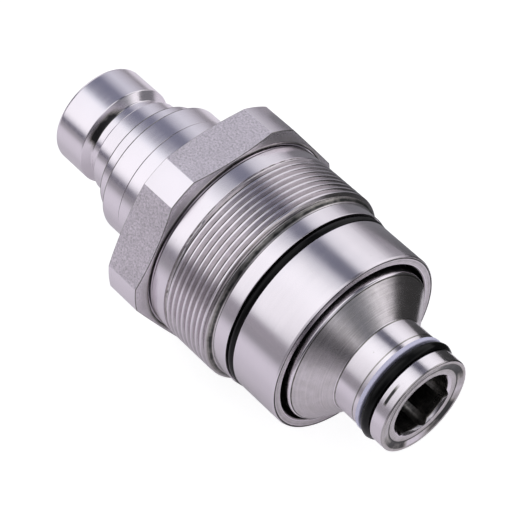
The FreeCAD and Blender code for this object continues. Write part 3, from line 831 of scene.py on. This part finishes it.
# Painted dark reflections and shade round the dished end
DISH_DARK_REFLECTION = ((0, 0.35), (90, 0.35), (105, 0.6), (120, 1.0), (150, 0.95), (159, 0.0), (172, 0.0), (185, 0.35),
             (197, 0.8), (212, 1.1), (228, 1.4), (240, 0.5), (255, 0.2), (270, 0.45), (285, 0.9), (300, 1.1),
             (332, 0.95), (345, 0.45))

# Between which parts of their width the dish's slope takes painted dark reflections and the socket's bevel
# is bright
PAINTED_PARTS = 0.12, 0.88
BRIGHT_PARTS = 0.06, 0.94


class COUPLER_OT_nipple(bpy.types.Operator):
    """Build the sliding nipple with its nose"""

    bl_idname = "coupler.nipple"
    bl_label = "Nipple"

    def execute(self, context):
        sizes = context.scene.coupler.nipple
        angles = even_angles()
        stem, nose = NIPPLE_BOX[0].x, NIPPLE_BOX[1].x
        neck = HOUSING_BOX[1].x + sizes.exposed
        step = neck + sizes.neck_length
        throat = step + sizes.step_length
        lock = throat + sizes.throat_length
        slope = lock + sizes.lock_length
        collar = slope + sizes.lock_slope
        chamber = nose - sizes.nose_bore_length
        lock_rise = sizes.nose_radius - sizes.lock_radius
        # The locking slope is painted darker by angle, most at its foot and less up the slope
        unevenness = np.interp(np.degrees(angles), *zip(*SLOPE_DARKENING))
        upper_darkening = np.maximum(unevenness - DARKENING_LOSS, 0.0)
        darkened_slope = [Corner(slope + part * sizes.lock_slope, sizes.lock_radius + part * lock_rise,
                          soil=left * upper_darkening) for part, left in DARKENING_LEFT]
        rim = sizes.rim_round
        line = sizes.scribed_line
        # Painted shade in the bores, the scribed line and the creases, and dark lines painted on the stepped
        # rims as shade
        outline = [
            dark(stem, sizes.flow_bore),
            Corner(stem, sizes.stem_radius, EASED),
            crease(sizes.shoulder, sizes.stem_radius),
            Corner(sizes.shoulder, sizes.nipple_radius, EASED),
            Corner(neck - line, sizes.nipple_radius, FINE),
            dark(neck - line, sizes.neck_radius - line),
            dark(neck, sizes.neck_radius - line),
            Corner(neck, sizes.neck_radius, FINE),
            Corner(step, sizes.neck_radius, rim, soil=0.8, spread=FINE),
            crease(step, sizes.step_radius),
            Corner(throat, sizes.step_radius, rim, soil=0.8, spread=FINE),
            crease(throat, sizes.throat_radius),
            Corner(lock, sizes.throat_radius, rim),
            Corner(lock, sizes.lock_radius, rim),
            Corner(slope - rim, sizes.lock_radius),
            Corner(slope, sizes.lock_radius, rim, soil=unevenness),
            *darkened_slope,
            Corner(collar, sizes.nose_radius, rim),
            Corner(nose, sizes.nose_radius, sizes.nose_round, 2 * RIM_STEPS),
            Corner(nose, sizes.nose_bore, EASED),
            dark(chamber, sizes.nose_bore),
            dark(chamber, sizes.valve_chamber),
            dark(sizes.guide_front, sizes.valve_chamber),
            dark(sizes.guide_front, sizes.flow_bore),
        ]
        turned_piece("nipple_shell", rounded_rows(outline, len(angles)), angles, "cartridge",
                     "plated_nipple", "nipple_body")
        return {"FINISHED"}


class COUPLER_OT_adapter(bpy.types.Operator):
    """Build the rear adapter with its nozzle and hexagon socket"""

    bl_idname = "coupler.adapter"
    bl_label = "Rear adapter"

    def execute(self, context):
        sizes = context.scene.coupler.adapter
        half_flats = sizes.socket_flats / 2
        edge_angle = math.acos(half_flats / sizes.drill_radius)
        first_side = sizes.socket_corner + HEX_STEP / 2
        angles = six_sided_angles(edge_angle, first_side, *SOCKET_COLUMNS)
        off_middle = side_angle(angles, first_side)
        socket = np.clip(half_flats / np.cos(off_middle), sizes.drill_radius, sizes.socket_corner_radius)
        end, front = ADAPTER_BOX[0].x, ADAPTER_BOX[1].x
        cone = front - sizes.land
        nozzle = cone - sizes.cone_length
        cone_edge = sizes.outside_radius - sizes.edge
        cone_slope = (cone_edge - sizes.nozzle_radius) / sizes.cone_length
        lead = nozzle - sizes.nozzle_length
        gland = lead - sizes.lead_in
        flange = end + sizes.flange_length
        streak = flange - sizes.dark_reflection_place
        dish = end + sizes.dish_depth
        dish_slope = sizes.dish_radius - sizes.dish_floor
        streak_reflection, dish_reflection = (np.interp(np.degrees(angles), *zip(*soil), period=360)
                                  for soil in (FLANGE_DARK_REFLECTION, DISH_DARK_REFLECTION))
        mouth = np.maximum(sizes.drill_radius + sizes.socket_bevel, socket)
        bevel = mouth - socket
        painted_slope = [Corner(end + part * sizes.dish_depth, sizes.dish_radius - part * dish_slope,
                               soil=dish_reflection) for part in PAINTED_PARTS]
        bright_bevel = [Corner(dish + part * bevel, mouth - part * bevel) for part in BRIGHT_PARTS]
        drill_end = end + sizes.drill_depth
        stem = front - sizes.stem_depth
        flow = drill_end + sizes.flow_bore - sizes.drill_radius
        edge = sizes.edge
        # Painted shade at the front edge beside the spigot's gap, at the cone's edge, in the creases and
        # grooves, the socket and the bores; painted dark reflections on the flange's rim and the dish
        outline = [
            dark(front, sizes.stem_bore + edge),
            Corner(front, sizes.outside_radius - edge, SMALL),
            dark(front - edge, sizes.outside_radius, SMALL, RIM_STEPS),
            Corner(front - 3 * edge, sizes.outside_radius, soil=0.3),
            Corner(cone + 4 * edge, sizes.outside_radius, soil=0.2),
            Corner(cone + edge / cone_slope, sizes.outside_radius, 2 * edge, 2 * RIM_STEPS),
            Corner(cone - FINE, cone_edge - FINE * cone_slope, soil=0.9),
            Corner(cone - 3 * FINE, cone_edge - 3 * FINE * cone_slope, soil=0.9),
            Corner(cone - 5 * FINE, cone_edge - 5 * FINE * cone_slope, soil=0.3),
            Corner(nozzle + 0.8 * edge, sizes.nozzle_radius + edge, soil=0.3),
            crease(nozzle, sizes.nozzle_radius),
            crease(lead, sizes.nozzle_radius),
            Corner(gland, sizes.nozzle_radius - sizes.lead_depth, SMALL),
            dark(gland, sizes.gland_radius, SMALL),
            dark(flange, sizes.gland_radius, SMALL),
            Corner(flange, sizes.flange_radius, SOFT),
            # A streak of painted dark reflection along the flange
            Corner(streak + 5 * SMALL, sizes.flange_radius),
            Corner(streak + 3 * SMALL, sizes.flange_radius, soil=streak_reflection),
            Corner(streak - 3 * SMALL, sizes.flange_radius, soil=streak_reflection),
            Corner(streak - 5 * SMALL, sizes.flange_radius),
            Corner(end + sizes.flange_round + SMALL, sizes.flange_radius),
            Corner(end, sizes.flange_radius, sizes.flange_round, soil=0.4),
            Corner(end, sizes.dish_radius, SMALL, soil=0.5),
            *painted_slope,
            Corner(dish, sizes.dish_floor, FINE, INNER_STEPS, soil=1.2),
            Corner(dish, sizes.dish_floor - 1.5 * SMALL, soil=1.2),
            Corner(dish, sizes.dish_floor - 3 * SMALL, soil=0.45),
            Corner(dish, mouth + GUARD, soil=0.3),
            *bright_bevel,
            Corner(dish + bevel + GUARD, socket, soil=0.5),
            Corner(dish + bevel + sizes.socket_bevel, socket, soil=0.8),
            Corner(end + sizes.socket_depth, socket, soil=0.8),
            dark(end + sizes.socket_depth, sizes.drill_radius),
            dark(drill_end, sizes.drill_radius),
            dark(flow, sizes.flow_bore),
            dark(stem, sizes.flow_bore),
            dark(stem, sizes.stem_bore),
            dark(front - edge, sizes.stem_bore),
        ]
        turned_piece("adapter_shell", rounded_rows(outline, len(angles)), angles, "cartridge",
                     "plated_adapter", "rear_adapter")
        return {"FINISHED"}


class COUPLER_OT_seals(bpy.types.Operator):
    """Build the rings that show: one on the spigot, two on the nozzle"""

    bl_idname = "coupler.seals"
    bl_label = "Seals"

    def execute(self, context):
        sizes = context.scene.coupler.seals
        housing, adapter = context.scene.coupler.housing, context.scene.coupler.adapter
        angles = even_angles()
        rings = (
            ("spigot_seal", "housing_o_ring", "housing", sizes.housing_ring, housing.gland_radius),
            ("nozzle_seal", "nozzle_o_ring", "cartridge", sizes.nozzle_ring, adapter.gland_radius),
        )
        for name, node, body, section, floor in rings:
            low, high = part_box(node)
            middle = (low.x + high.x) / 2
            radius = floor + sizes.clearance + section / 2
            rows = circle_rows(middle, radius, section, sizes.flash, len(angles))
            turned_piece(name, [rows], angles, body, "black_rubber", node)
        low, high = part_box("nozzle_backup_ring")
        inner = adapter.gland_radius + sizes.clearance
        outline = [Corner(place, radius, sizes.backup_round)
                   for place, radius in ((low.x, inner), (low.x, high.z), (high.x, high.z), (high.x, inner))]
        turned_piece("nozzle_backup", rounded_rows(outline, len(angles)), angles, "cartridge",
                     "milky_plastic", "nozzle_backup_ring")
        return {"FINISHED"}


class COUPLER_OT_valve(bpy.types.Operator):
    """Build the flat valve"""

    bl_idname = "coupler.valve"
    bl_label = "Valve"

    def execute(self, context):
        sizes = context.scene.coupler.valve
        angles = even_angles()
        tail, face = POPPET_BOX[0].x, POPPET_BOX[1].x
        flange = face - sizes.flange_setback
        boss = flange - sizes.flange_thickness
        taper = boss - sizes.boss_length
        stem = taper - sizes.taper_length
        groove = face - sizes.ring_setback
        groove_rear = groove - sizes.ring_width
        outline = [
            Corner(tail, 0),
            Corner(tail, sizes.stem_radius - sizes.edge),
            Corner(tail + sizes.edge, sizes.stem_radius, EASED),
            Corner(stem, sizes.stem_radius, EASED),
            Corner(taper, sizes.boss_radius, EASED),
            Corner(boss, sizes.boss_radius),
            Corner(boss, sizes.flange_radius, EASED),
            Corner(flange, sizes.flange_radius, EASED),
            dark(flange, sizes.head_radius),
            Corner(groove_rear, sizes.head_radius, EASED),
            dark(groove_rear, sizes.gland_radius),
            dark(groove, sizes.gland_radius),
            Corner(groove, sizes.head_radius, EASED),
            Corner(face, sizes.head_radius, EASED),
            Corner(face, 0),
        ]
        turned_piece("flat_valve", rounded_rows(outline, len(angles)), angles, "valve",
                     "plated_nipple", "poppet")
        return {"FINISHED"}


class COUPLER_OT_springs(bpy.types.Operator):
    """Build the two springs"""

    bl_idname = "coupler.springs"
    bl_label = "Springs"

    def execute(self, context):
        sizes = context.scene.coupler.springs
        wires = {"return_spring": ("return_coil", "housing", sizes.return_wire, sizes.return_turns),
                 "poppet_spring": ("valve_coil", "cartridge", sizes.valve_wire, sizes.valve_turns)}
        for joint in frame["record"]["behaviour"]["joints"]:
            for spring in joint["deforming_nodes"]:
                name, body, wire, turns = wires[spring["node"]]
                low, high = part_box(spring["node"])
                rows, angles = coil_rows(low.x, high.x, (high.y - low.y) / 2, wire, turns)
                piece = turned_piece(name, [rows], angles, body, "spring_wire",
                                     spring["node"])
                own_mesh(piece)
        return {"FINISHED"}


class COUPLER_OT_hidden(bpy.types.Operator):
    """Give the pieces inside the coupler their finishes"""

    bl_idname = "coupler.hidden"
    bl_label = "Inner pieces"

    def execute(self, context):
        finishes = {
            "black_rubber": ("joint_o_ring", "rod_seal", "poppet_seal", "wiper_ring"),
            "milky_plastic": ("joint_backup_ring", "rod_backup_ring", "poppet_backup_ring"),
            "blackened_steel": ("housing_snap_ring", "guide_snap_ring"),
            "plated_nipple": ("valve_guide", "spring_seat_ring"),
        }
        for key, nodes in finishes.items():
            for node in nodes:
                materials = frame["nodes"][node].data.materials
                materials.clear()
                materials.append(finish_material(key))
        return {"FINISHED"}


# Studio

# Camera of the photograph: its place in metres, its axes to the right and down, its lens in millimetres
CAMERA_PLACE = Vector((-0.2320, 0.1932, 0.3640))
CAMERA_RIGHT = Vector((-0.65226, -0.75800, 0.0))
CAMERA_DOWN = Vector((-0.58822, 0.50616, -0.63071))
CAMERA_LENS, CAMERA_SENSOR = 154.02, 36.0

# Floor: its reach in metres, its glow to the camera and in reflections, the tone that takes a shadow, a
# slight tint in reflections, and the tone in reflections by the distance beside or behind the coupler, which
# paints shade into the reflected floor: a painted shadow close beside it and darker far off
FLOOR_REACH = 0.7
CAMERA_GLOW, GLOSSY_GLOW = 0.86, 0.12
SHADOW_TONE = 0.36
FLOOR_TINT = 0.95
FLOOR_SPAN = 0.25
FLOOR_TONES = ((0.0, 0.67), (0.025, 0.75), (0.037, 0.89), (0.055, 0.98), (0.09, 0.98), (0.13, 0.76),
               (0.19, 0.42))

# Dark cards, painted shade of the floor seen only in reflections: the one beside the housing with the height
# of its top along the axis, the one behind the nozzle with its reach across, and two tones that fade into
# each other along the axis
CARD_PLACE = -0.045
CARD_TOPS = ((-0.170, 0.014), (-0.062, 0.0135), (-0.050, 0.0195), (-0.036, 0.015), (-0.027, 0.0065),
             (-0.019, 0.008), (-0.008, 0.0185), (0.025, 0.022))
REAR_CARD_PLACE = -0.090
REAR_CARD_REACH = -0.012, 0.022
REAR_CARD_TOP = 0.0
CARD_FADE = -0.008, -0.034
CARD_TONES = (0.20, 0.20, 0.215), (0.045, 0.045, 0.045)

# Panels and gaps of the studio: degrees round the axis from straight up to +Y, and the light from there

# Seen in the housing's cylinders
SIDE_TONES = (
    (-180, 0.45, 0.44, 0.47), (-90, 0.24, 0.23, 0.26), (-72, 0.86, 0.86, 0.89), (-55, 1.03, 1.03, 1.05),
    (-40, 0.84, 0.85, 0.89), (-30, 0.22, 0.23, 0.29), (-17, 0.22, 0.23, 0.29), (-9, 0.66, 0.68, 0.72),
    (3, 1.12, 1.13, 1.14), (22, 1.20, 1.21, 1.22), (64, 1.22, 1.23, 1.24), (74, 1.03, 1.04, 1.06),
    (81, 0.35, 0.33, 0.36), (89, 0.42, 0.40, 0.43), (96, 0.36, 0.34, 0.36), (180, 0.45, 0.44, 0.47),
)
# Seen in the nozzle's cylinders: a narrow gap between wide panels, and a panel that fades downwards
NOZZLE_TONES = (
    (-180, 0.45, 0.44, 0.47), (-96, 0.45, 0.44, 0.47), (-88, 0.58, 0.57, 0.59), (-72, 0.95, 0.95, 0.97),
    (-56, 1.12, 1.13, 1.15), (-38, 1.08, 1.09, 1.11), (-31, 0.08, 0.08, 0.11), (-19, 0.06, 0.06, 0.09),
    (-11, 1.00, 1.01, 1.04), (0, 1.20, 1.22, 1.23), (12, 1.22, 1.24, 1.25), (26, 1.08, 1.09, 1.11),
    (42, 0.86, 0.86, 0.88), (58, 0.69, 0.68, 0.71), (72, 0.49, 0.48, 0.51), (86, 0.28, 0.27, 0.29),
    (96, 0.36, 0.34, 0.36), (180, 0.45, 0.44, 0.47),
)
# Seen in the nipple's cylinders: a wider gap and a fainter panel beside it
NIPPLE_TONES = (
    (-180, 0.45, 0.44, 0.47), (-90, 0.45, 0.44, 0.48), (-72, 0.60, 0.60, 0.67), (-56, 0.68, 0.70, 0.78),
    (-43, 0.46, 0.47, 0.55), (-31, 0.22, 0.23, 0.31), (-4, 0.19, 0.20, 0.28), (3, 0.34, 0.36, 0.44),
    (12, 0.90, 0.94, 1.02), (18, 1.16, 1.18, 1.22), (70, 1.24, 1.24, 1.27), (79, 0.92, 0.92, 0.97),
    (85, 0.12, 0.12, 0.17), (92, 0.12, 0.12, 0.16), (97, 0.32, 0.30, 0.33), (180, 0.45, 0.44, 0.47),
)
# Seen towards the nozzle, where the room behind the camera is darker
REAR_TONES = (
    (-180, 0.30, 0.30, 0.32), (-98, 0.20, 0.20, 0.21), (-88, 0.80, 0.79, 0.81), (-78, 1.25, 1.23, 1.26),
    (-66, 1.10, 1.10, 1.12), (-54, 0.30, 0.31, 0.33), (-36, 0.16, 0.17, 0.19), (-14, 0.24, 0.25, 0.27),
    (4, 0.50, 0.51, 0.54), (16, 0.82, 0.83, 0.86), (26, 0.66, 0.67, 0.70), (40, 0.30, 0.30, 0.33),
    (52, 0.14, 0.14, 0.16), (68, 0.07, 0.07, 0.08), (84, 0.07, 0.07, 0.08), (96, 0.20, 0.20, 0.21),
    (180, 0.30, 0.30, 0.32),
)
# Seen past the nose, bright on one side and dark on the other
NOSE_TONES = (
    (-180, 0.30, 0.30, 0.32), (-100, 0.50, 0.50, 0.53), (-60, 0.95, 0.95, 0.97), (0, 0.95, 0.95, 0.97),
    (18, 0.50, 0.50, 0.54), (35, 0.14, 0.14, 0.16), (80, 0.16, 0.16, 0.18), (100, 0.42, 0.42, 0.44),
    (180, 0.30, 0.30, 0.32),
)
WALL_TONE = (0.72, 0.69, 0.67)

# Where each of those takes over, by the direction's part along the axis; the last place is the wall's
DIRECTION_CHANGES = (0.45, 0.415), (0.485, 0.54), (-0.1, -0.4), (0.70, 0.82), (-0.968, -0.985)


class COUPLER_OT_studio(bpy.types.Operator):
    """Set the floor, the soft light and the camera"""

    bl_idname = "coupler.studio"
    bl_label = "Studio"

    def execute(self, context):
        self.floor(context)
        self.dark_card(context)
        self.light(context)
        self.camera(context)
        context.scene.view_settings.view_transform = "Standard"
        return {"FINISHED"}

    def floor(self, context):
        """A wide pale plane under the hexagon, white to the camera, with a soft shadow."""
        level = CAD_BOX[0].z - GUARD
        mesh = bpy.data.meshes.new("floor")
        signs = (-1, -1), (1, -1), (1, 1), (-1, 1)
        corners = [(x * FLOOR_REACH, y * FLOOR_REACH, level) for x, y in signs]
        mesh.from_pydata(corners, [], [(0, 1, 2, 3)])
        floor = bpy.data.objects.new("floor", mesh)
        context.scene.collection.objects.link(floor)
        material = bpy.data.materials.new("pale_floor")
        shader = Shader(material)
        path = shader.node("ShaderNodeLightPath")
        camera, glossy, through = (Value(shader, path.outputs[name])
                                   for name in ("Is Camera Ray", "Is Glossy Ray", "Is Transmission Ray"))
        seen = camera.math("MAXIMUM", glossy).math("MAXIMUM", through)
        # In reflections the floor's tone is painted by distance: painted shadow close beside the coupler,
        # brightest a little off, darker far away
        along, across, _ = shader.parts(shader.object_position())
        beside = across.math("ABSOLUTE").math("MAXIMUM", 0.0 - along)
        stops = [(place / FLOOR_SPAN, tone) for place, tone in FLOOR_TONES]
        mirrored = shader.value("ShaderNodeValToRGB", "Color", {"Fac": beside / FLOOR_SPAN}, stops=stops)
        reflected = GLOSSY_GLOW * mirrored
        strength = reflected + (CAMERA_GLOW - reflected) * camera
        grey = mirrored + (SHADOW_TONE - mirrored) * camera
        green = grey * (FLOOR_TINT + (1.0 - FLOOR_TINT) * camera)
        glow = shader.value("ShaderNodeEmission", 0, {"Color": (1.0, 1.0, 1.0, 1.0), "Strength": strength})
        shaded = shader.value("ShaderNodeBsdfDiffuse", 0, {"Color": shader.combine(grey, green, grey)})
        shown = shader.value("ShaderNodeAddShader", 0, {0: glow, 1: shaded})
        pale = (*context.scene.coupler.colours.floor, 1.0)
        plain = shader.value("ShaderNodeBsdfDiffuse", 0, {"Color": pale})
        mixed = shader.value("ShaderNodeMixShader", 0, {0: seen, 1: plain, 2: shown})
        shader.node("ShaderNodeOutputMaterial", {"Surface": mixed})
        mesh.materials.append(material)

    def dark_card(self, context):
        """Dark cards beside the housing and behind the nozzle that only reflections see: painted shade of
        the floor, glowing at a fixed dark tone.
        """
        tops = np.array(CARD_TOPS)
        bottoms = np.column_stack([tops[:, 0], np.full(len(tops), CAD_BOX[0].z)])
        corners = [(x, CARD_PLACE, z) for x, z in np.concatenate([tops, bottoms])]
        faces = [(i, i + 1, i + 1 + len(tops), i + len(tops)) for i in range(len(tops) - 1)]
        faces.append(tuple(range(len(corners), len(corners) + 4)))
        ends = (0, CAD_BOX[0].z), (1, CAD_BOX[0].z), (1, REAR_CARD_TOP), (0, REAR_CARD_TOP)
        corners += [(REAR_CARD_PLACE, REAR_CARD_REACH[side], z) for side, z in ends]
        mesh = bpy.data.meshes.new("dark_card")
        mesh.from_pydata(corners, [], faces)
        card = bpy.data.objects.new("dark_card", mesh)
        context.scene.collection.objects.link(card)
        card.visible_camera = card.visible_diffuse = card.visible_shadow = False
        material = bpy.data.materials.new("dark_card")
        shader = Shader(material)
        along, _, _ = shader.parts(shader.object_position())
        tone = shader.blend(shader.step(along, *CARD_FADE), *CARD_TONES)
        painted_shade = shader.value("ShaderNodeEmission", 0, {"Color": tone, "Strength": 1.0})
        shader.node("ShaderNodeOutputMaterial", {"Surface": painted_shade})
        mesh.materials.append(material)

    def light(self, context):
        """Light from all round: panels and the gaps between them, by the angle round the coupler's axis."""
        world = bpy.data.worlds.new("studio")
        shader = Shader(world)
        along, across, up = shader.parts(shader.value("ShaderNodeTexCoord", "Generated"))
        turn = across.math("ARCTAN2", up) / FULL_TURN + 0.5
        sides = []
        for tones in (SIDE_TONES, NOZZLE_TONES, NIPPLE_TONES, REAR_TONES, NOSE_TONES):
            stops = [(degrees / 360 + 0.5, tone) for degrees, *tone in tones]
            sides.append(shader.value("ShaderNodeValToRGB", "Color", {"Fac": turn}, stops=stops))
        tone, *others = sides
        for (start, end), other in zip(DIRECTION_CHANGES, (*others, WALL_TONE)):
            tone = shader.blend(shader.step(along, start, end), tone, other)
        studio = shader.value("ShaderNodeBackground", 0, {"Color": tone, "Strength": 1.0})
        white = shader.value("ShaderNodeBackground", 0, {"Color": (1.0, 1.0, 1.0, 1.0), "Strength": 1.0})
        camera = shader.value("ShaderNodeLightPath", "Is Camera Ray")
        mixed = shader.value("ShaderNodeMixShader", 0, {0: camera, 1: studio, 2: white})
        shader.node("ShaderNodeOutputWorld", {"Surface": mixed})
        context.scene.world = world

    def camera(self, context):
        """The photograph's view: the camera's own axes are right, up and back."""
        data = bpy.data.cameras.new("camera")
        data.lens = CAMERA_LENS
        data.sensor_width = CAMERA_SENSOR
        camera = bpy.data.objects.new("camera", data)
        back = CAMERA_RIGHT.cross(-CAMERA_DOWN)
        camera.matrix_world = Matrix((CAMERA_RIGHT, -CAMERA_DOWN, back)).transposed().to_4x4()
        camera.location = CAMERA_PLACE
        context.scene.collection.objects.link(camera)
        context.scene.camera = camera


OPERATORS = (COUPLER_OT_housing, COUPLER_OT_nipple, COUPLER_OT_adapter, COUPLER_OT_seals, COUPLER_OT_valve,
             COUPLER_OT_springs, COUPLER_OT_hidden, COUPLER_OT_studio)


class COUPLER_PT_panel(bpy.types.Panel):
    """Pieces of the coupler and their sizes"""

    bl_idname = "COUPLER_PT_panel"
    bl_label = "Hydraulic quick coupler"
    bl_space_type = "VIEW_3D"
    bl_region_type = "UI"
    bl_category = "Coupler"

    def draw(self, context):
        for operator in OPERATORS:
            self.layout.operator(operator.bl_idname)
        settings = context.scene.coupler
        for group in CouplerSettings.__annotations__:
            box = self.layout.box()
            box.label(text=group.capitalize())
            sizes = getattr(settings, group)
            for name in sizes.__annotations__:
                box.prop(sizes, name)


CLASSES = (HousingSizes, NippleSizes, AdapterSizes, SealSizes, ValveSizes, SpringSizes, FinishColours,
           CouplerSettings, *OPERATORS, COUPLER_PT_panel)


def register():
    """Adds the classes and the coupler's settings."""
    for item in CLASSES:
        bpy.utils.register_class(item)
    bpy.types.Scene.coupler = PointerProperty(type=CouplerSettings)


def unregister():
    """Removes the settings and the classes."""
    del bpy.types.Scene.coupler
    for item in reversed(CLASSES):
        bpy.utils.unregister_class(item)


def main():
    """Builds every piece and the studio."""
    register()
    bpy.ops.coupler.housing()
    bpy.ops.coupler.nipple()
    bpy.ops.coupler.adapter()
    bpy.ops.coupler.seals()
    bpy.ops.coupler.valve()
    bpy.ops.coupler.springs()
    bpy.ops.coupler.hidden()
    bpy.ops.coupler.studio()


if __name__ == "__main__":
    main()
